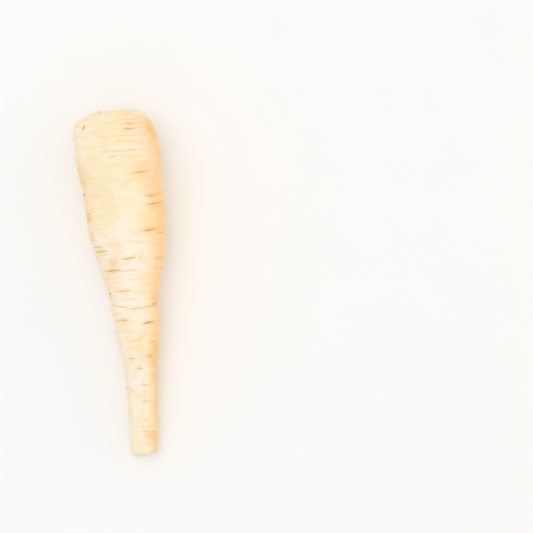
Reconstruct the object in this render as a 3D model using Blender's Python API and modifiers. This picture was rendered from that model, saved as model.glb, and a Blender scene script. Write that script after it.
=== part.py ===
"""A parsnip: one whole root, topped at the crown and trimmed at the tail, lying on its side.

Run with: blender --background --python part.py
Metres, +Z up. The root runs along Y with its crown towards +Y. It lies on z = 0, and the origin is
on that surface, under the middle of the root's box.
"""

import math
from collections import namedtuple

import bmesh
import bpy
from mathutils import Matrix, Vector

MM = 0.001

# Driving dimensions, in millimetres
LENGTH = 164.0  # from the crown's rim to the middle of the cut tail
SIDES = 20  # corners of each ring of the cage
HEEL_FLAT = 0.9  # how deep the skin is pressed flat where the thick end lies on its surface
TOE_FLAT = 0.4  # the same under the tail
CROWN_LEAN = math.radians(-7)  # the crown's face leans, and stands upright when the root lies down
CROWN_EASE = 7.0  # the length of shoulder over which the rings turn to follow that face
TAIL_CUT_SLANT = math.radians(-14)  # the knife went through a little off square
TAIL_CUT_EASE = 12.0  # the length of tail over which the rings turn to follow that cut
SETTLE_ROUNDS = 6

SKIN_COLOUR = (0.86, 0.70, 0.43, 1.0)
SKIN_ROUGHNESS = 0.55

# One ring of the cage: how far down from the crown's rim it is, its half-width and half-height,
# and how far its middle lies to the right of and above the straight line from crown to tail.
Ring = namedtuple("Ring", "down wide high right up")

# The crown's dish, from the stub of the leaf stalks out to the rim
CROWN = (
    Ring(2.3, 2.4, 2.4, -0.2, 0.3),
    Ring(2.4, 4.2, 4.1, -0.2, 0.3),
    Ring(3.5, 5.2, 5.1, -0.2, 0.2),
    Ring(3.2, 6.9, 6.7, -0.2, 0.1),
    Ring(1.4, 8.4, 8.2, -0.2, 0.0),
)

# The shoulder, the long taper and the thin tail
BODY = (
    Ring(1.2, 9.9, 9.9, -0.1, 0.0),
    Ring(2.2, 12.0, 12.3, -0.4, -0.1),
    Ring(3.5, 14.2, 14.6, -1.2, -0.2),
    Ring(4.9, 16.3, 16.3, -2.0, -0.2),
    Ring(6.5, 17.9, 17.5, -2.4, -0.2),
    Ring(9.0, 18.8, 18.5, -1.9, -0.1),
    Ring(12.5, 19.5, 19.2, -1.3, 0.0),
    Ring(17.5, 20.1, 19.6, -0.9, 0.1),
    Ring(23.0, 20.3, 19.7, -0.8, 0.1),
    Ring(29.0, 19.7, 19.4, -0.4, 0.2),
    Ring(35.5, 19.0, 18.9, 0.0, 0.2),
    Ring(43.0, 18.6, 18.4, 0.4, 0.3),
    Ring(52.0, 18.6, 17.9, 0.8, 0.3),
    Ring(60.0, 18.1, 17.2, 0.3, 0.4),
    Ring(66.5, 16.8, 16.1, 1.0, 0.5),
    Ring(73.0, 15.2, 14.8, 1.3, 0.6),
    Ring(79.5, 13.6, 13.4, 1.2, 0.7),
    Ring(86.0, 12.2, 12.1, 1.3, 0.7),
    Ring(91.5, 10.9, 11.1, 1.1, 0.8),
    Ring(96.0, 11.0, 10.9, 1.6, 0.9),
    Ring(102.0, 10.7, 10.4, 1.6, 0.9),
    Ring(108.5, 9.8, 9.6, 1.6, 0.7),
    Ring(115.5, 8.5, 8.5, 2.0, 0.5),
    Ring(123.0, 7.6, 7.6, 1.8, 0.2),
    Ring(131.5, 6.9, 7.0, 1.5, 0.0),
    Ring(142.0, 6.8, 6.7, 0.7, -0.2),
    Ring(152.0, 6.7, 6.5, 0.2, -0.1),
    Ring(160.8, 6.4, 6.2, -0.2, 0.0),
)

# The cut face, whose rim is a little worn
TAIL_CUT = (
    Ring(164.1, 6.1, 6.0, -0.2, 0.0),
    Ring(164.7, 5.5, 5.4, -0.3, 0.0),
    Ring(164.8, 2.7, 2.7, -0.3, 0.0),
)


def ring_gain():
    """How much wider a cage ring is than the round that Subdivision Surface draws inside it."""
    return 3 / (2 + math.cos(2 * math.pi / SIDES))


def slant_of(ring):
    """The rings at each end lean with its face. Those beside them ease into that lean."""
    crown_share = 1 - (ring.down - BODY[0].down) / CROWN_EASE
    tail_share = 1 - (TAIL_CUT[0].down - ring.down) / TAIL_CUT_EASE
    crown_slant = CROWN_LEAN * min(max(crown_share, 0.0), 1.0)
    return crown_slant + TAIL_CUT_SLANT * min(max(tail_share, 0.0), 1.0)


def ring_matrix(ring):
    """Carries the unit circle in XY to a ring across the root, which runs along Y."""
    place = Matrix.Translation(Vector((ring.right, LENGTH / 2 - ring.down, ring.up)) * MM)
    stand = Matrix.Rotation(math.pi / 2 + slant_of(ring), 4, "X")
    girth = Matrix.Diagonal((ring.wide * MM * ring_gain(), ring.high * MM * ring_gain(), 1, 1))
    return place @ stand @ girth


def extruded(mesh, edge):
    """A copy of the open ring, joined to it by faces, with its corners in the same order."""
    loop = [e for e in mesh.edges if all(vert in edge for vert in e.verts)]
    made = set(bmesh.ops.extrude_edge_only(mesh, edges=loop)["geom"])
    return [
        next(e.other_vert(old) for e in old.link_edges if e.other_vert(old) in made)
        for old in edge
    ]


def root_cage():
    """Carries one circle from the crown's stub, over the rim and down to the cut tail."""
    mesh = bmesh.new()
    edge = bmesh.ops.create_circle(mesh, segments=SIDES, radius=1.0)["verts"]
    circle = [vert.co.copy() for vert in edge]
    mesh.faces.new(edge)
    for number, ring in enumerate((*CROWN, *BODY, *TAIL_CUT)):
        if number:
            edge = extruded(mesh, edge)
        for vert, corner in zip(edge, circle):
            vert.co = ring_matrix(ring) @ corner
    mesh.faces.new(reversed(edge))
    bmesh.ops.recalc_face_normals(mesh, faces=mesh.faces)
    return mesh


def skin_material():
    material = bpy.data.materials.new("parsnip_skin")
    material.use_nodes = True
    shader = material.node_tree.nodes["Principled BSDF"]
    shader.inputs["Base Color"].default_value = SKIN_COLOUR
    shader.inputs["Roughness"].default_value = SKIN_ROUGHNESS
    shader.inputs["Metallic"].default_value = 0.0
    return material


def smoothed(cage):
    """The cage's own mesh with its Subdivision Surface applied."""
    bpy.context.view_layer.update()
    return bpy.data.meshes.new_from_object(
        cage.evaluated_get(bpy.context.evaluated_depsgraph_get())
    )


def tip_to_rest(mesh):
    """Tips the root about X until its thick end and its tail both reach what they are pressed on."""
    for _ in range(SETTLE_ROUNDS):
        points = [vert.co for vert in mesh.vertices]
        heel = min((p for p in points if p.y > 0), key=lambda p: p.z)
        toe = min((p for p in points if p.y < -LENGTH * MM / 4), key=lambda p: p.z)
        gap = heel.z - toe.z + (HEEL_FLAT - TOE_FLAT) * MM
        mesh.transform(Matrix.Rotation(-math.atan2(gap, heel.y - toe.y), 4, "X"))


def set_down(mesh):
    """Centres the root's box over the origin, and presses its lowest skin flat on z = 0."""
    points = [vert.co for vert in mesh.vertices]
    low = Vector([min(p[axis] for p in points) for axis in range(3)])
    high = Vector([max(p[axis] for p in points) for axis in range(3)])
    floor = low.z + HEEL_FLAT * MM
    mesh.transform(Matrix.Translation((-(low.x + high.x) / 2, -(low.y + high.y) / 2, -floor)))
    for vert in mesh.vertices:
        vert.co.z = max(vert.co.z, 0.0)


def make_parsnip(collection):
    cage_mesh = bpy.data.meshes.new("cage")
    cage = root_cage()
    cage.to_mesh(cage_mesh)
    cage.free()
    root = bpy.data.objects.new("parsnip", cage_mesh)
    collection.objects.link(root)
    soft = root.modifiers.new("soft", "SUBSURF")
    soft.levels = soft.render_levels = 1
    root.data = smoothed(root)
    root.modifiers.remove(soft)
    tip_to_rest(root.data)
    set_down(root.data)
    root.data.shade_smooth()
    root.data.materials.append(skin_material())
    return root


def main():
    for old in list(bpy.data.objects):
        bpy.data.objects.remove(old)
    collection = bpy.data.collections.new("parsnip")
    bpy.context.scene.collection.children.link(collection)
    make_parsnip(collection)


main()
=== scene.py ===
"""A parsnip that lies on its side: its creased skin, its dished crown and its cut tail.

Metres, +Z up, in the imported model's own frame. The root runs along Y with its crown towards +Y.
Sizes that are easier to read in millimetres are given in them and multiplied by MM.
"""

import math
from collections import namedtuple

import bmesh
import bpy
import numpy as np
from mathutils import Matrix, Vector


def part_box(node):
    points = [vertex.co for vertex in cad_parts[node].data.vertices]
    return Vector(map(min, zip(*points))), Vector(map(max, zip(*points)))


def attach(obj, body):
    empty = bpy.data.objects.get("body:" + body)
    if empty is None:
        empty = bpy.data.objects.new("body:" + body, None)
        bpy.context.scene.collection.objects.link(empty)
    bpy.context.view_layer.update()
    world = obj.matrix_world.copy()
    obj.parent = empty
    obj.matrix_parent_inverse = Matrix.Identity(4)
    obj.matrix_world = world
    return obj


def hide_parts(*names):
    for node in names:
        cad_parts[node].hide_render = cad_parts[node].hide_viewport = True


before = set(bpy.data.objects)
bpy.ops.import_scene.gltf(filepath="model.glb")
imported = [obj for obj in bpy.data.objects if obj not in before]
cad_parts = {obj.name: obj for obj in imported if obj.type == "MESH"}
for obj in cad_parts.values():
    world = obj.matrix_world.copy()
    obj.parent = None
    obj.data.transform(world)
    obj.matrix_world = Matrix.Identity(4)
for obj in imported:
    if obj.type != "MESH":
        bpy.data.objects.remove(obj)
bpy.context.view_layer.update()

MM = 0.001

# Measuring
SLICES = 160  # across the root, at which its middle and half-sizes are read
RIM_DOWN = 0.6 * MM  # from the crown's end to the first slice

# Mesh
SIDES = 38  # corners of each ring of the cage, before it is subdivided twice
BODY_RINGS = 42
SHOULDER_RINGS = 10
SHOULDER = 12.0  # mm of root, from the crown's rim, over which the shoulder rounds off
TAIL_RINGS = 5
TAIL_EASE = 12.0  # mm of tail over which the rings turn to follow the cut
TAIL_STOP = 3.2  # mm of tail left below the last ring of full size
TAIL_CUT_SLANT = math.radians(-9)
CUT_UP = 1.9 * MM  # from the tail's end to the rings of its cut face
CUT_SHARES = (0.97, 0.88, 0.66, 0.44, 0.22)  # their sizes, of the tail's
LENGTHWISE_CUTS = 2

# Crown
RIM_RADIUS = 9.4  # mm
STUB_RADIUS = 4.4  # mm, of the cut leaf stalks in the middle of the dish
DISH_RADII = (1.2, 2.4, 3.4, 4.2, 4.9, 5.7, 6.6, 7.6, 8.6)  # mm
DISH_SUNK = 1.2 * MM

# Camera, floor and light
CAMERA_HEIGHT = 1.2
CAMERA_TURN = math.radians(-4.57)
CAMERA_RIGHT = 65.2 * MM  # of the middle of the root's box
CAMERA_DOWN = 78.3 * MM  # from the crown's rim, towards the tail
FIELD_WIDTH = 250.5 * MM  # of the frame, at the height of the root's outline
OUTLINE_HEIGHT = 15.0 * MM
SENSOR_WIDTH = 36.0  # mm
FLOOR_SIZE = 30.0
FLOOR_DROP = 0.2 * MM  # so that the flats under the root don't lie in the floor's own plane
WORLD_STRENGTH = 0.8

# A mark: how far across (to the right) and down from the crown's end its middle is, half its
# length, its depth, how much it climbs to the right, and how dark it is. Those that are listed
# lie on the uppermost side, as seen from above.
Mark = namedtuple("Mark", "across down half deep climb dark")
ACROSS_FROM = 0.75 * MM

SCAR_WIDTH = 0.55  # mm
SCAR_LIP = 0.45  # of the scar's depth
CREASE_WIDTH = 0.34  # mm
CREASE_LIP = 0.3  # of the crease's depth

# Marks all round the root
SCATTERED_CREASES = 330
SCAR_ROWS = (1.75, 2.75, -2.7, -1.7)  # radians round the root, from its top

# Scars of side roots: short, deep at the middle, with a raised lip above and below
SCARS = (
    Mark(10.4, 30.0, 4.2, 0.30, 0.04, 0.62),
    Mark(13.6, 41.0, 3.2, 0.24, 0.08, 0.62),
    Mark(14.6, 45.0, 3.2, 0.28, 0.10, 0.74),
    Mark(11.7, 57.0, 3.2, 0.30, 0.10, 0.85),
    Mark(-12.1, 65.4, 3.8, 0.28, 0.06, 0.75),
    Mark(1.2, 69.4, 3.8, 0.22, 0.00, 0.66),
    Mark(-7.1, 74.5, 4.2, 0.30, 0.00, 0.85),
    Mark(-4.9, 98.2, 3.4, 0.20, -0.06, 0.60),
    Mark(7.3, 100.1, 2.9, 0.28, 0.10, 0.85),
    Mark(14.4, 70.3, 2.2, 0.20, 0.03, 0.50),
    Mark(-3.4, 84.6, 4.4, 0.20, 0.02, 0.55),
    Mark(6.1, 9.8, 3.0, 0.18, 0.00, 0.58),
    Mark(6.5, 7.5, 2.6, 0.16, 0.00, 0.52),
    Mark(-14.9, 7.8, 1.0, 0.26, 1.50, 1.00),
)

# Creases: thin lines that run round the root
CREASES = (
    Mark(4.4, 1.9, 5.0, 0.09, 0.00, 0.28),
    Mark(5.2, 3.4, 5.2, 0.10, 0.00, 0.30),
    Mark(5.8, 5.5, 5.6, 0.13, 0.00, 0.42),
    Mark(5.8, 7.5, 6.4, 0.10, 0.00, 0.34),
    Mark(5.8, 9.8, 7.0, 0.10, 0.00, 0.36),
    Mark(-1.2, 6.4, 4.6, 0.08, 0.04, 0.22),
    Mark(6.4, 10.9, 5.6, 0.09, 0.02, 0.26),
    Mark(5.0, 12.9, 8.4, 0.12, 0.03, 0.36),
    Mark(-9.4, 10.4, 4.4, 0.07, 0.02, 0.18),
    Mark(-11.8, 17.2, 4.8, 0.07, 0.02, 0.16),
    Mark(6.8, 22.4, 6.2, 0.08, 0.04, 0.22),
    Mark(12.6, 25.2, 5.2, 0.09, 0.06, 0.28),
    Mark(-8.6, 26.8, 5.4, 0.07, 0.00, 0.16),
    Mark(2.2, 35.8, 3.0, 0.08, 0.02, 0.24),
    Mark(11.6, 36.8, 5.0, 0.08, 0.08, 0.24),
    Mark(-12.2, 39.6, 4.2, 0.07, 0.00, 0.20),
    Mark(-3.8, 45.6, 5.0, 0.07, 0.02, 0.16),
    Mark(8.0, 49.8, 5.4, 0.07, 0.08, 0.20),
    Mark(-10.6, 55.0, 4.4, 0.08, 0.03, 0.22),
    Mark(4.6, 62.0, 5.6, 0.10, -0.16, 0.26),
    Mark(9.6, 66.4, 5.2, 0.08, 0.10, 0.22),
    Mark(-5.4, 62.4, 4.2, 0.08, 0.02, 0.20),
    Mark(-10.6, 70.0, 4.2, 0.09, 0.04, 0.26),
    Mark(3.6, 79.6, 6.4, 0.08, 0.04, 0.22),
    Mark(-6.4, 80.2, 4.4, 0.08, 0.00, 0.22),
    Mark(6.8, 85.6, 4.2, 0.08, 0.08, 0.22),
    Mark(2.4, 96.2, 4.6, 0.07, 0.04, 0.18),
    Mark(-4.2, 103.4, 4.0, 0.08, 0.00, 0.20),
    Mark(4.4, 104.4, 4.2, 0.08, 0.06, 0.20),
    Mark(3.2, 112.6, 4.0, 0.07, 0.02, 0.20),
    Mark(-1.4, 125.6, 2.8, 0.07, 0.00, 0.20),
    Mark(3.6, 126.2, 2.8, 0.08, 0.02, 0.26),
    Mark(1.4, 133.8, 3.0, 0.07, 0.00, 0.20),
    Mark(0.4, 148.8, 2.8, 0.07, 0.00, 0.18),
    Mark(3.6, 154.6, 2.6, 0.08, 0.02, 0.26),
    Mark(-6.5, 13.0, 2.8, 0.10, 0.00, 0.35),
    Mark(4.7, 15.5, 6.5, 0.12, 0.03, 0.40),
    Mark(3.0, 19.9, 11.5, 0.12, 0.03, 0.38),
    Mark(7.4, 19.9, 2.8, 0.16, 0.03, 0.55),
    Mark(-5.1, 19.4, 2.8, 0.10, -0.02, 0.30),
    Mark(-2.0, 22.2, 2.4, 0.12, 0.00, 0.45),
    Mark(10.2, 29.9, 8.0, 0.12, 0.06, 0.45),
    Mark(5.6, 33.8, 2.4, 0.10, 0.08, 0.30),
    Mark(14.2, 40.8, 5.5, 0.12, 0.10, 0.45),
    Mark(14.0, 45.0, 6.0, 0.12, 0.12, 0.45),
    Mark(-16.5, 47.6, 2.6, 0.22, 0.00, 0.60),
    Mark(-16.8, 50.1, 2.2, 0.24, 0.00, 0.75),
    Mark(11.6, 57.1, 7.5, 0.12, 0.14, 0.45),
    Mark(-16.1, 57.4, 2.2, 0.14, 0.00, 0.35),
    Mark(-15.9, 59.7, 2.4, 0.18, 0.00, 0.50),
    Mark(-13.3, 63.1, 3.4, 0.22, 0.05, 0.65),
    Mark(-10.2, 67.0, 2.8, 0.12, 0.02, 0.35),
    Mark(12.8, 74.6, 2.4, 0.10, 0.00, 0.30),
    Mark(-2.0, 75.2, 9.0, 0.10, 0.03, 0.35),
    Mark(-0.5, 88.4, 4.8, 0.12, 0.00, 0.35),
    Mark(-4.3, 91.8, 5.6, 0.22, -0.20, 0.48),
    Mark(3.0, 92.9, 4.4, 0.26, 0.06, 0.62),
    Mark(8.4, 92.2, 3.4, 0.22, 0.18, 0.60),
    Mark(-7.0, 95.0, 2.4, 0.10, -0.06, 0.35),
    Mark(8.2, 100.3, 4.0, 0.14, 0.16, 0.50),
    Mark(3.4, 107.8, 2.4, 0.10, 0.00, 0.30),
    Mark(-0.2, 108.3, 3.4, 0.16, -0.02, 0.45),
    Mark(8.4, 109.6, 2.6, 0.20, 0.10, 0.65),
    Mark(-2.0, 116.6, 2.4, 0.18, -0.05, 0.60),
    Mark(1.2, 121.3, 2.0, 0.20, 0.00, 0.66),
    Mark(3.4, 129.2, 3.2, 0.14, 0.00, 0.52),
    Mark(2.6, 136.5, 1.7, 0.18, 0.00, 0.60),
    Mark(5.5, 136.7, 1.6, 0.12, 0.00, 0.42),
    Mark(0.6, 142.3, 1.4, 0.10, 0.00, 0.30),
    Mark(2.4, 145.6, 1.7, 0.16, 0.00, 0.52),
    Mark(1.8, 151.6, 1.9, 0.16, 0.00, 0.60),
    Mark(2.8, 157.2, 1.6, 0.12, 0.00, 0.35),
)

# Spots: where a root hair broke off. Half is the radius, and a negative depth stands proud.
SPOTS = (
    Mark(-17.8, 38.2, 0.75, 0.20, 0, 0.85),
    Mark(6.6, 69.3, 0.50, 0.15, 0, 0.62),
    Mark(6.5, 116.0, 0.90, 0.12, 0, 0.50),
    Mark(-4.9, 129.9, 0.55, -0.40, 0, 0.80),
    Mark(-3.9, 130.5, 0.45, -0.15, 0, 0.50),
    Mark(-2.7, 131.3, 0.55, -0.30, 0, 0.65),
    Mark(5.5, 151.8, 0.60, 0.18, 0, 0.60),
    Mark(-9.6, 86.9, 0.60, 0.18, 0, 0.40),
    Mark(10.6, 91.6, 0.90, 0.20, 0, 0.60),
    Mark(-6.7, 0.6, 0.90, -0.15, 0, 0.70),
    Mark(-7.2, 8.6, 0.45, 0.10, 0, 0.40),
)

# Warmer patches of skin: half is the radius
BLUSHES = (
    Mark(15.6, 10.4, 1.9, 0, 0, 0.75),
    Mark(17.6, 13.4, 2.4, 0, 0, 0.50),
    Mark(-17.5, 30.7, 5.0, 0, 0, 0.65),
    Mark(-6.4, 71.2, 2.8, 0, 0, 0.60),
    Mark(-8.0, 75.2, 3.0, 0, 0, 0.60),
    Mark(-13.0, 66.0, 3.0, 0, 0, 0.60),
    Mark(9.9, 30.2, 3.6, 0, 0, 0.60),
    Mark(-16.6, 49.0, 2.6, 0, 0, 0.60),
    Mark(10.6, 92.0, 1.8, 0, 0, 0.80),
    Mark(7.0, 116.0, 1.8, 0, 0, 0.80),
    Mark(-3.8, 98.8, 2.8, 0, 0, 0.50),
    Mark(-2.4, 117.0, 2.2, 0, 0, 0.50),
    Mark(4.0, 153.0, 3.0, 0, 0, 0.60),
    Mark(12.0, 88.0, 2.6, 0, 0, 0.60),
    Mark(10.2, 112.5, 3.0, 0, 0, 0.80),
    Mark(9.8, 119.0, 3.4, 0, 0, 0.95),
    Mark(9.4, 126.0, 3.2, 0, 0, 0.85),
)


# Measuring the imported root

def select_only(piece):
    bpy.ops.object.select_all(action="DESELECT")
    piece.select_set(True)
    bpy.context.view_layer.objects.active = piece


def merged_copy(node):
    """A copy of a CAD node whose loose triangles are joined."""
    guide = bpy.data.objects.new("guide", node.data.copy())
    bpy.context.scene.collection.objects.link(guide)
    select_only(guide)
    bpy.ops.object.mode_set(mode="EDIT")
    bpy.ops.mesh.select_all(action="SELECT")
    bpy.ops.mesh.remove_doubles(threshold=0.005 * MM)
    bpy.ops.object.mode_set(mode="OBJECT")
    return guide


def points_of(mesh, what="co"):
    """The places of a mesh's vertices, or their normals, one to a row."""
    found = np.empty(len(mesh.vertices) * 3)
    mesh.vertices.foreach_get(what, found)
    return found.reshape(-1, 3)


class Girth:
    """The root's middle and half-sizes at any distance down from the crown, in metres."""

    def __init__(self, guide):
        points = points_of(guide.data)
        ends = np.array([edge.vertices[:] for edge in guide.data.edges])
        self.starts, self.stops = points[ends[:, 0]], points[ends[:, 1]]
        self.top = points[:, 1].max()
        self.length = self.top - points[:, 1].min()
        self.downs = np.linspace(RIM_DOWN, self.length - 5 * MM, SLICES)
        found = [self.section(self.top - down) for down in self.downs]
        self.middles = np.array([middle for middle, _ in found])
        self.halves = np.array([half for _, half in found])

    def section(self, y):
        """The middle and half-size of the slice across the root at y."""
        before, after = self.starts[:, 1] - y, self.stops[:, 1] - y
        crosses = before * after < 0
        share = before[crosses] / (before[crosses] - after[crosses])
        cut = self.starts[crosses] + share[:, None] * (self.stops - self.starts)[crosses]
        return (cut.min(0) + cut.max(0)) / 2, (cut.max(0) - cut.min(0)) / 2

    def at(self, down):
        """The middle's x and z and the half-width and half-height, at each distance down."""
        columns = (self.middles[:, 0], self.middles[:, 2], self.halves[:, 0], self.halves[:, 2])
        return [np.interp(down, self.downs, column) for column in columns]


# The cage: one ring after another, from the middle of the crown to the middle of the cut tail

Ring = namedtuple("Ring", "middle wide high tilt")  # wide and high are half-sizes


def ring_at(girth, down, share=1.0, tilt=0.0, sunk=0.0):
    """A ring round the root, or a share of its size inside that outline."""
    x, z, wide, high = girth.at(down)
    middle = Vector((x, girth.top - down - sunk, z))
    return Ring(middle, wide * share, high * share, tilt)


def cage_rings(girth):
    """All rings, in order: the dish, the shoulder, the body, the tail and its cut face."""
    rim = ring_at(girth, RIM_DOWN)
    rings = [
        ring_at(girth, RIM_DOWN, radius * MM / rim.wide, sunk=DISH_SUNK) for radius in DISH_RADII
    ]
    for step in range(SHOULDER_RINGS):
        turn = math.pi / 2 * (step + 0.8) / SHOULDER_RINGS
        rings.append(ring_at(girth, SHOULDER * MM * (1 - math.cos(turn))))
    body_end = girth.length - TAIL_EASE * MM
    rings += [ring_at(girth, down) for down in np.linspace(SHOULDER * MM, body_end, BODY_RINGS)]
    for step in range(1, TAIL_RINGS + 1):
        share = step / TAIL_RINGS
        down = body_end + share * (TAIL_EASE - TAIL_STOP) * MM
        rings.append(ring_at(girth, down, tilt=TAIL_CUT_SLANT * share))
    for share in CUT_SHARES:
        rings.append(ring_at(girth, girth.length - CUT_UP, share, TAIL_CUT_SLANT))
    return rings


def extrude_ring(last, ring):
    """Carries the cage's open end on to the next ring."""
    step = ring.middle - last.middle
    growth = (ring.wide / last.wide, 1, ring.high / last.high)
    bpy.ops.mesh.extrude_edges_move(TRANSFORM_OT_translate={"value": step})
    bpy.ops.transform.resize(value=growth, center_override=ring.middle)
    if ring.tilt != last.tilt:
        turn = ring.tilt - last.tilt
        bpy.ops.transform.rotate(value=-turn, orient_axis="X", center_override=ring.middle)


def root_cage(girth):
    """The rough root: a circle in the crown's dish, extruded ring by ring, closed at both ends."""
    rings = cage_rings(girth)
    first = rings[0]
    bpy.ops.object.select_all(action="DESELECT")
    bpy.ops.mesh.primitive_circle_add(
        vertices=SIDES,
        radius=first.wide,
        location=first.middle,
        rotation=(math.pi / 2, 0, 0),
    )
    root = bpy.context.active_object
    root.name = "parsnip_root"
    bpy.ops.object.transform_apply()
    bpy.ops.object.mode_set(mode="EDIT")
    bpy.ops.mesh.select_all(action="SELECT")
    for last, ring in zip(rings, rings[1:]):
        extrude_ring(last, ring)
    bpy.ops.mesh.select_all(action="SELECT")
    bpy.ops.mesh.fill_holes(sides=SIDES)
    bpy.ops.mesh.select_all(action="SELECT")
    bpy.ops.mesh.normals_make_consistent(inside=False)
    bpy.ops.object.mode_set(mode="OBJECT")
    return root


def apply_modifier(piece, kind, **settings):
    select_only(piece)
    modifier = piece.modifiers.new(kind.lower(), kind)
    for name, value in settings.items():
        setattr(modifier, name, value)
    bpy.ops.object.modifier_apply(modifier=modifier.name)


def cut_lengthwise(root, girth):
    """Adds rings between those of the body, where creases have to be thin."""
    select_only(root)
    bpy.ops.object.mode_set(mode="EDIT")
    bpy.ops.mesh.select_mode(type="EDGE")
    bpy.ops.mesh.select_all(action="DESELECT")
    mesh = bmesh.from_edit_mesh(root.data)
    start = girth.top - 4 * MM
    stop = girth.top - girth.length + (TAIL_EASE - 1) * MM
    for edge in mesh.edges:
        run = edge.verts[1].co - edge.verts[0].co
        inside = all(stop < vert.co.y < start for vert in edge.verts)
        edge.select = inside and abs(run.y) > 0.7 * run.length
    bmesh.update_edit_mesh(root.data)
    bpy.ops.mesh.subdivide(number_cuts=LENGTHWISE_CUTS)
    bpy.ops.object.mode_set(mode="OBJECT")


# Shaping the skin

class Skin:
    """The root's vertices while they are shaped, and the stains that the shaping leaves on them."""

    def __init__(self, root, girth):
        self.mesh = root.data
        self.girth = girth
        self.points = points_of(self.mesh)
        self.normals = points_of(self.mesh, "normal")
        self.down = (girth.top - self.points[:, 1]) / MM
        x, z, wide, high = girth.at(self.down * MM)
        self.radius = np.sqrt(wide * high) / MM
        self.angle = np.arctan2(self.points[:, 0] - x, self.points[:, 2] - z)
        self.across = (self.points[:, 0] - ACROSS_FROM) / MM
        self.uppermost = self.points[:, 2] > z
        self.wander = np.zeros(len(self.points))
        self.rise = np.zeros(len(self.points))
        self.stain = np.zeros(len(self.points))
        self.blush = np.zeros(len(self.points))

    def ripple(self, size, seed, stretch=(1, 1, 1)):
        """Smooth noise from about -1 to 1, with lumps of that size in millimetres."""
        random = np.random.default_rng(seed)
        total = np.zeros(len(self.points))
        waves = 14
        for _ in range(waves):
            heading = random.normal(size=3)
            heading *= 2 * math.pi / (size * MM * np.linalg.norm(heading)) / np.array(stretch)
            total += np.sin(self.points @ heading + random.uniform(0, 2 * math.pi))
        return total / math.sqrt(waves / 2) / 1.6

    def groove(self, sideways, offset, mark, width, lip, where):
        """Sinks a groove whose middle line is at offset 0, and stains it."""
        near = where & (np.abs(sideways) < mark.half) & (np.abs(offset) < 8 * width)
        taper = 1 - (sideways[near] / mark.half) ** 2
        reach = np.abs(offset[near]) / width
        dip = np.exp(-(reach**2)) * taper
        edge = np.exp(-((reach - 2.4) ** 2)) * taper
        self.rise[near] += mark.deep * (lip * edge - dip)
        line = np.exp(-((1.25 * reach) ** 2)) * np.sqrt(taper)
        self.stain[near] = np.maximum(self.stain[near], mark.dark * line)
        glow = np.exp(-((reach / 2.6) ** 2)) * taper
        self.blush[near] = np.maximum(self.blush[near], 0.6 * mark.dark * glow)

    def line(self, mark, width, lip):
        """A crease or scar on the uppermost side, placed as it is seen from above."""
        sideways = self.across - mark.across
        offset = self.down - mark.down + mark.climb * sideways + self.wander
        self.groove(sideways, offset, mark, width, lip, self.uppermost)

    def round_line(self, angle, mark, width, lip):
        """A crease or scar anywhere round the root."""
        turn = (self.angle - angle + math.pi) % (2 * math.pi) - math.pi
        sideways = turn * self.radius
        offset = self.down - mark.down + mark.climb * sideways + self.wander
        self.groove(sideways, offset, mark, width, lip, self.down > 1.0)

    def spot(self, mark):
        """A spot on the uppermost side, not on the crown's or the tail's own face."""
        away = np.hypot(self.across - mark.across, self.down - mark.down) / mark.half
        shape = np.exp(-(away**2)) * self.uppermost * smoothstep(0.05, 0.3, self.normals[:, 2])
        self.rise -= mark.deep * shape
        self.stain = np.maximum(self.stain, mark.dark * shape)

    def redden(self, mark):
        """A warmer patch on the uppermost side."""
        away = np.hypot(self.across - mark.across, self.down - mark.down) / mark.half
        shape = np.exp(-(away**2)) * self.uppermost
        self.blush = np.maximum(self.blush, mark.dark * shape)

    def store(self, name, values):
        """Keeps a value from 0 to 1 for each vertex, for the skin's material to read."""
        layer = self.mesh.attributes.new(name, "FLOAT", "POINT")
        layer.data.foreach_set("value", np.clip(values, 0, 1).astype(np.float32))

    def finish(self):
        """Moves each vertex out by its rise, and none of them below the floor."""
        self.points += self.normals * (self.rise * MM)[:, None]
        self.points[:, 2] = np.maximum(self.points[:, 2], 0.0)
        self.mesh.vertices.foreach_set("co", self.points.ravel())
        self.mesh.update()


def smoothstep(low, high, values):
    """0 at low, 1 at high and smooth in between."""
    share = np.clip((values - low) / (high - low), 0, 1)
    return share * share * (3 - 2 * share)


def lay_marks(skin):
    """The listed marks, all of whose lines waver a little."""
    skin.wander = 0.22 * skin.ripple(9, 11)
    for mark in SCARS:
        skin.line(mark, SCAR_WIDTH, SCAR_LIP)
    for mark in CREASES:
        skin.line(mark, CREASE_WIDTH, CREASE_LIP)
    for mark in SPOTS:
        skin.spot(mark)
    for mark in BLUSHES:
        skin.redden(mark)


def scatter_marks(skin):
    """Creases and side-root scars round the rest of the root, and faint creases all over."""
    random = np.random.default_rng(5)
    length = skin.girth.length / MM
    for _ in range(SCATTERED_CREASES):
        angle = random.uniform(-math.pi, math.pi)
        down = length * random.beta(0.9, 1.15)
        faint = 0.35 if abs(angle) < 1.2 else 1.0
        strength = faint * random.uniform(0.25, 1.0) ** 1.6
        half = random.uniform(1.2, 5.5) * (0.35 + 0.65 * skin.girth.at(down * MM)[2] / (20 * MM))
        climb = random.normal(0, 0.05)
        mark = Mark(0, down, half, 0.22 * strength, climb, 0.62 * strength)
        skin.round_line(angle, mark, random.uniform(0.28, 0.42), CREASE_LIP)
    for row in SCAR_ROWS:
        down = random.uniform(16, 26)
        while down < length - 8:
            angle = row + random.normal(0, 0.16)
            half = random.uniform(1.8, 4.4) * (0.4 + 0.6 * skin.girth.at(down * MM)[2] / (20 * MM))
            dark = random.uniform(0.55, 1.0)
            mark = Mark(0, down, half, 0.34 * dark, random.normal(0, 0.06), dark)
            skin.round_line(angle, mark, SCAR_WIDTH, SCAR_LIP)
            down += random.uniform(6, 17)


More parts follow.
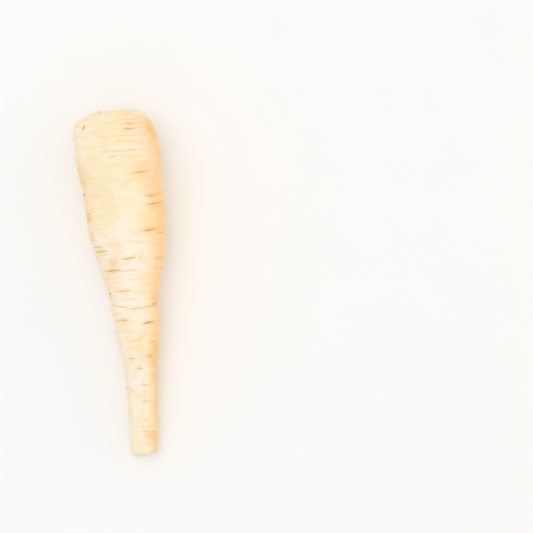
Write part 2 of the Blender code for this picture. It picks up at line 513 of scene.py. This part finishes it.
def swell(skin):
    """Broad lumps, the soft wrinkles that ring the root, and the finest of them near the crown."""
    body = smoothstep(0.5, 5, skin.down)
    skin.rise += 0.22 * skin.ripple(22, 21) * body
    skin.rise += 0.10 * skin.ripple(9, 22, (1.6, 0.7, 1.6)) * body
    skin.rise += 0.045 * skin.ripple(3.2, 23, (3.5, 0.8, 3.5)) * body
    near_crown = np.exp(-((skin.down - 4) / 13) ** 2) * smoothstep(0.2, 2, skin.down)
    wavering = skin.down + 0.5 * skin.ripple(12, 24)
    rings = np.sin(2 * math.pi * wavering / 2.6)
    patchy = smoothstep(-0.5, 0.7, skin.ripple(11, 25))
    skin.rise += 0.075 * rings * near_crown * patchy
    skin.stain = np.maximum(skin.stain, 0.28 * smoothstep(0.55, 1, -rings) * near_crown * patchy)


def shape_crown(skin):
    """The rings that the leaf stalks left in the dish, and their fibrous stub in its middle."""
    x, z = skin.girth.at(RIM_DOWN)[:2]
    out = np.hypot(skin.points[:, 0] - x, skin.points[:, 2] - z) / MM
    turn = np.arctan2(skin.points[:, 0] - x, skin.points[:, 2] - z)
    inside = (1 - smoothstep(RIM_RADIUS - 0.8, RIM_RADIUS + 1.2, out)) * (skin.down < 5)
    wavy = out + 0.22 * np.sin(5 * turn + 1) + 0.08 * np.sin(11 * turn) + 0.4 * skin.ripple(5, 31)
    in_dish = inside * smoothstep(STUB_RADIUS - 0.3, STUB_RADIUS + 0.5, out)
    leaf_rings = np.sin(2 * math.pi * wavy / 1.5)
    skin.rise += 0.16 * leaf_rings * in_dish
    on_stub = inside * (1 - smoothstep(STUB_RADIUS - 0.5, STUB_RADIUS, out))
    fibres = skin.ripple(1.3, 32) + 0.6 * np.sin(2 * math.pi * wavy / 1.1)
    skin.rise += 0.14 * fibres * on_stub
    skin.rise -= 0.8 * np.exp(-((out / 1.1) ** 2)) * on_stub
    skin.store("dish", inside)
    skin.store("stub", on_stub)
    skin.store("leaf_ring", inside * (0.5 - 0.5 * leaf_rings))


def shape_cut(skin):
    """The knife's face across the tail: a core, the flesh round it and the skin's edge."""
    outward = Vector((0, -math.cos(TAIL_CUT_SLANT), -math.sin(TAIL_CUT_SLANT)))
    facing = skin.normals @ np.array(outward)
    near_end = skin.down > skin.girth.length / MM - 5.5
    face = smoothstep(0.8, 0.97, facing) * near_end
    x, z, wide, high = skin.girth.at(skin.girth.length)
    out = np.hypot((skin.points[:, 0] - x) / wide, (skin.points[:, 2] - z) / high)
    skin.rise += face * (0.05 * skin.ripple(1.0, 41) - 0.10 * smoothstep(0.5, 0.4, out))
    skin.store("cut", face)
    skin.store("cut_out", out / 1.2)


def paint_flank_shade(skin):
    """Painted warm shade on the root's sides, standing in for warm reflected light: most on the
    right, and little underneath.
    """
    # Painted shade: this mask tints the sides as the light falls on them, not as the skin is
    # coloured.
    right = smoothstep(0.35, 1.2, skin.angle)
    left = 0.3 * smoothstep(0.55, 1.4, -skin.angle)
    underneath = smoothstep(1.25, 2.3, np.abs(skin.angle))
    painted_flank_shade = (right + left) * (1 - 0.7 * underneath)
    skin.store("painted_flank_shade", painted_flank_shade * smoothstep(1, 8, skin.down))


def shape_root(root, girth):
    skin = Skin(root, girth)
    swell(skin)
    lay_marks(skin)
    scatter_marks(skin)
    shape_crown(skin)
    shape_cut(skin)
    paint_flank_shade(skin)
    skin.store("stain", skin.stain)
    skin.store("blush", skin.blush)
    skin.finish()


# Materials

class Wire:
    """A number's socket that can stand in a sum. Each operation adds a Math node."""

    def __init__(self, paint, socket):
        self.paint = paint
        self.socket = socket

    def maths(self, operation, *values):
        return self.paint.node("ShaderNodeMath", {"operation": operation}, dict(enumerate(values)))

    def __add__(self, other):
        return self.maths("ADD", self, other)

    def __sub__(self, other):
        return self.maths("SUBTRACT", self, other)

    def __mul__(self, other):
        return self.maths("MULTIPLY", self, other)

    def __rsub__(self, other):
        return self.maths("SUBTRACT", other, self)

    __radd__ = __add__
    __rmul__ = __mul__

    def between(self, low, high):
        """0 at low, 1 at high and smooth in between."""
        settings = {"interpolation_type": "SMOOTHSTEP"}
        inputs = {"Value": self, "From Min": low, "From Max": high}
        return self.paint.node("ShaderNodeMapRange", settings, inputs)


class Paint:
    """A material made of nodes."""

    def __init__(self, name):
        self.material = bpy.data.materials.new(name)
        self.material.use_nodes = True
        self.tree = self.material.node_tree
        self.shader = self.tree.nodes["Principled BSDF"]

    def node(self, kind, settings=None, inputs=None, output=0):
        """Adds a node, with its settings made first, and returns one of its outputs."""
        made = self.tree.nodes.new(kind)
        for name, value in (settings or {}).items():
            setattr(made, name, value)
        for name, value in (inputs or {}).items():
            self.feed(made.inputs[name], value)
        return Wire(self, made.outputs[output])

    def feed(self, socket, value):
        if isinstance(value, Wire):
            self.tree.links.new(value.socket, socket)
        else:
            socket.default_value = value

    def set(self, **values):
        """Sets the shader's sockets, whose names have _ for each space."""
        for name, value in values.items():
            self.feed(self.shader.inputs[name.replace("_", " ")], value)

    def stored(self, name):
        """A value that Skin.store kept."""
        return self.node("ShaderNodeAttribute", {"attribute_name": name}, output="Fac")

    def place(self, scale=(1, 1, 1)):
        """The point's place on the object, stretched."""
        here = self.node("ShaderNodeTexCoord", output="Object")
        return self.node("ShaderNodeMapping", None, {"Vector": here, "Scale": scale})

    def noise(self, scale, detail=3.0, roughness=0.5, stretch=(1, 1, 1)):
        """Cloudy noise, whose lumps grow smaller as the scale grows."""
        inputs = {
            "Vector": self.place(stretch),
            "Scale": scale,
            "Detail": detail,
            "Roughness": roughness,
        }
        return self.node("ShaderNodeTexNoise", None, inputs)

    def mix(self, share, first, second):
        """A colour between two others. Sockets of one name are told apart by their number."""
        inputs = {0: share, 6: first, 7: second}
        return self.node("ShaderNodeMix", {"data_type": "RGBA"}, inputs, 2)


def colour(red, green, blue):
    """A colour given as it looks on a screen, from 0 to 255."""
    linear = [((part / 255 + 0.055) / 1.055) ** 2.4 for part in (red, green, blue)]
    return (*linear, 1.0)


CREAM = colour(254, 241, 223)
STRAW = colour(252, 232, 192)
PEACH = colour(253, 226, 190)
SAGE = colour(244, 232, 178)
# This ochre tints the cut face, and is also the painted warm shade on the flanks.
OCHRE_AND_FLANK_SHADE = colour(253, 203, 130)
BLUSH = colour(247, 196, 126)
TAN = colour(222, 170, 88)
BROWN = colour(158, 112, 56)
DARK_BROWN = colour(112, 84, 50)
LEAF_GREEN = colour(190, 184, 126)
BUFF = colour(222, 194, 140)
FLESH = colour(250, 240, 214)
CORE = colour(246, 228, 182)


def skin_material():
    """Pale skin with painted warm shade on its flanks, its stains and blushes, then the crown's
    dish and stub, then the cut face.
    """
    paint = Paint("parsnip_skin")
    broad = paint.noise(45, 2)
    patches = paint.noise(110, 3, 0.55, (1, 0.6, 1))
    tone = paint.mix(broad.between(0.36, 0.64), CREAM, STRAW)
    tone = paint.mix(patches.between(0.50, 0.72) * 0.5, tone, PEACH)
    tone = paint.mix(patches.between(0.46, 0.30) * 0.3, tone, SAGE)
    along = paint.node("ShaderNodeSeparateXYZ", None, {"Vector": paint.place()}, "Y")
    tail = along.between(-35 * MM, -70 * MM)
    tone = paint.mix(tail * 0.4, tone, CREAM)
    mottle = paint.noise(300, 4, 0.6, (0.8, 1.3, 0.8))
    tone = paint.mix(mottle.between(0.5, 0.7) * 0.4, tone, PEACH)
    tone = paint.mix(mottle.between(0.5, 0.32) * 0.45, tone, CREAM)
    # Painted warm shade: the flanks, the right one most, turn ochre as warm reflected light would
    # tint them.
    painted_flank_shade = paint.stored("painted_flank_shade") * (0.25 + patches * 0.5 + mottle * 0.45)
    tone = paint.mix(painted_flank_shade, tone, OCHRE_AND_FLANK_SHADE)
    fine_rings = paint.noise(150, 4, 0.6, (0.35, 3.2, 0.35))
    tone = paint.mix(fine_rings.between(0.56, 0.74) * 0.35, tone, BLUSH)
    tone = paint.mix(paint.stored("blush") * patches.between(0.2, 0.6), tone, BLUSH)
    specks = paint.noise(520, 2)
    tone = paint.mix(specks.between(0.68, 0.80) * 0.3, tone, TAN)
    stain = paint.stored("stain")
    broken = paint.noise(500, 2).between(0.25, 0.6)
    tone = paint.mix(stain.between(0.0, 0.8) * 0.8, tone, TAN)
    tone = paint.mix(stain.between(0.45, 1.0) * broken * 0.5, tone, BROWN)

    # The crown
    ring = paint.stored("leaf_ring")
    dish = paint.stored("dish")
    stub = paint.stored("stub")
    weathered = paint.mix(paint.noise(260, 4).between(0.35, 0.62), BUFF, STRAW)
    worn = paint.noise(330, 3).between(0.3, 0.68)
    weathered = paint.mix(ring.between(0.1, 1.05) * worn * 0.75, weathered, BROWN)
    tone = paint.mix(dish.between(0.1, 1.0) * 0.8, tone, weathered)
    stalk = paint.mix(paint.noise(620, 4).between(0.3, 0.7), BUFF, LEAF_GREEN)
    stalk = paint.mix(ring.between(0.3, 1.1) * 0.6, stalk, DARK_BROWN)
    tone = paint.mix(stub * 0.9, tone, stalk)

    # The cut face: its core, the darker line round that, and the flesh
    rays = paint.noise(420, 3)
    out = paint.stored("cut_out") * 1.2 + (rays - 0.5) * 0.16
    face = paint.mix(out.between(0.34, 0.50), CORE, FLESH)
    core_edge = out.between(0.36, 0.44) * (1 - out.between(0.46, 0.56))
    face = paint.mix(core_edge * 0.35, face, TAN)
    face = paint.mix(paint.noise(900, 2).between(0.5, 0.7) * 0.25, face, OCHRE_AND_FLANK_SHADE)
    face = paint.mix(rays.between(0.5, 0.7) * 0.35, face, PEACH)
    tone = paint.mix(paint.stored("cut"), tone, face)

    # Relief and shine
    pores = paint.noise(1100, 2)
    wrinkles = paint.noise(210, 5, 0.6, (0.3, 2.6, 0.3))
    relief = wrinkles * 0.8 + pores * 0.25 + paint.noise(420, 3) * 0.4
    normal = paint.node(
        "ShaderNodeBump", None, {"Strength": 0.35, "Distance": 0.25 * MM, "Height": relief}
    )
    roughness = 0.46 + patches * 0.16 + stain * 0.2 + dish * 0.15
    paint.set(
        Base_Color=tone,
        Roughness=roughness,
        Normal=normal,
        Specular_IOR_Level=0.4,
        Subsurface_Weight=0.25,
        Subsurface_Radius=(1.0, 0.5, 0.22),
        Subsurface_Scale=2.5 * MM,
    )
    return paint.material


def floor_material():
    paint = Paint("pale_floor")
    grain = paint.noise(30, 2)
    tone = paint.mix(grain, colour(246, 246, 244), colour(248, 248, 246))
    paint.set(Base_Color=tone, Roughness=0.9)
    return paint.material


# The root

def make_root():
    """The one piece: the whole root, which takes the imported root's place on screen."""
    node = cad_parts["parsnip"]
    guide = merged_copy(node)
    girth = Girth(guide)
    root = root_cage(girth)
    apply_modifier(root, "SHRINKWRAP", target=guide)
    bpy.data.objects.remove(guide)
    apply_modifier(root, "SUBSURF", levels=1, render_levels=1)
    cut_lengthwise(root, girth)
    apply_modifier(root, "SUBSURF", levels=1, render_levels=1)
    shape_root(root, girth)
    select_only(root)
    bpy.ops.object.shade_smooth()
    root.data.materials.append(skin_material())
    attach(root, "root")
    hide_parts("parsnip")


# Floor, light and camera

def make_floor():
    bpy.ops.mesh.primitive_plane_add(size=FLOOR_SIZE, location=(0, 0, -FLOOR_DROP))
    floor = bpy.context.active_object
    floor.name = "floor"
    floor.data.materials.append(floor_material())


def soft_light(name, place, size, power, tint):
    """A square light that faces the root and doesn't show itself."""
    data = bpy.data.lights.new(name, "AREA")
    data.size = size
    data.energy = power
    data.color = tint
    lamp = bpy.data.objects.new(name, data)
    lamp.location = place
    lamp.rotation_euler = (-Vector(place)).to_track_quat("-Z", "Y").to_euler()
    lamp.visible_camera = False
    bpy.context.scene.collection.objects.link(lamp)


def make_lights():
    soft_light("key", place=(-0.25, 0.25, 1.4), size=1.2, power=6.0, tint=(1.0, 0.995, 0.985))
    soft_light("warm_fill", place=(0.9, -0.1, 0.16), size=0.5, power=1.3, tint=(1.0, 0.62, 0.28))
    world = bpy.data.worlds.new("studio")
    world.use_nodes = True
    background = world.node_tree.nodes["Background"]
    background.inputs["Color"].default_value = (0.98, 0.985, 1.0, 1.0)
    background.inputs["Strength"].default_value = WORLD_STRENGTH
    bpy.context.scene.world = world


def make_camera():
    """Looks straight down on the root, which lies to the left in the frame."""
    data = bpy.data.cameras.new("camera")
    data.sensor_width = SENSOR_WIDTH
    data.lens = SENSOR_WIDTH * (CAMERA_HEIGHT - OUTLINE_HEIGHT) / FIELD_WIDTH
    camera = bpy.data.objects.new("camera", data)
    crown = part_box("parsnip")[1].y
    camera.location = (CAMERA_RIGHT, crown - CAMERA_DOWN, CAMERA_HEIGHT)
    camera.rotation_euler = (0, 0, CAMERA_TURN)
    bpy.context.scene.collection.objects.link(camera)
    bpy.context.scene.camera = camera


make_root()
make_floor()
make_lights()
make_camera()
bpy.context.scene.view_settings.view_transform = "Standard"
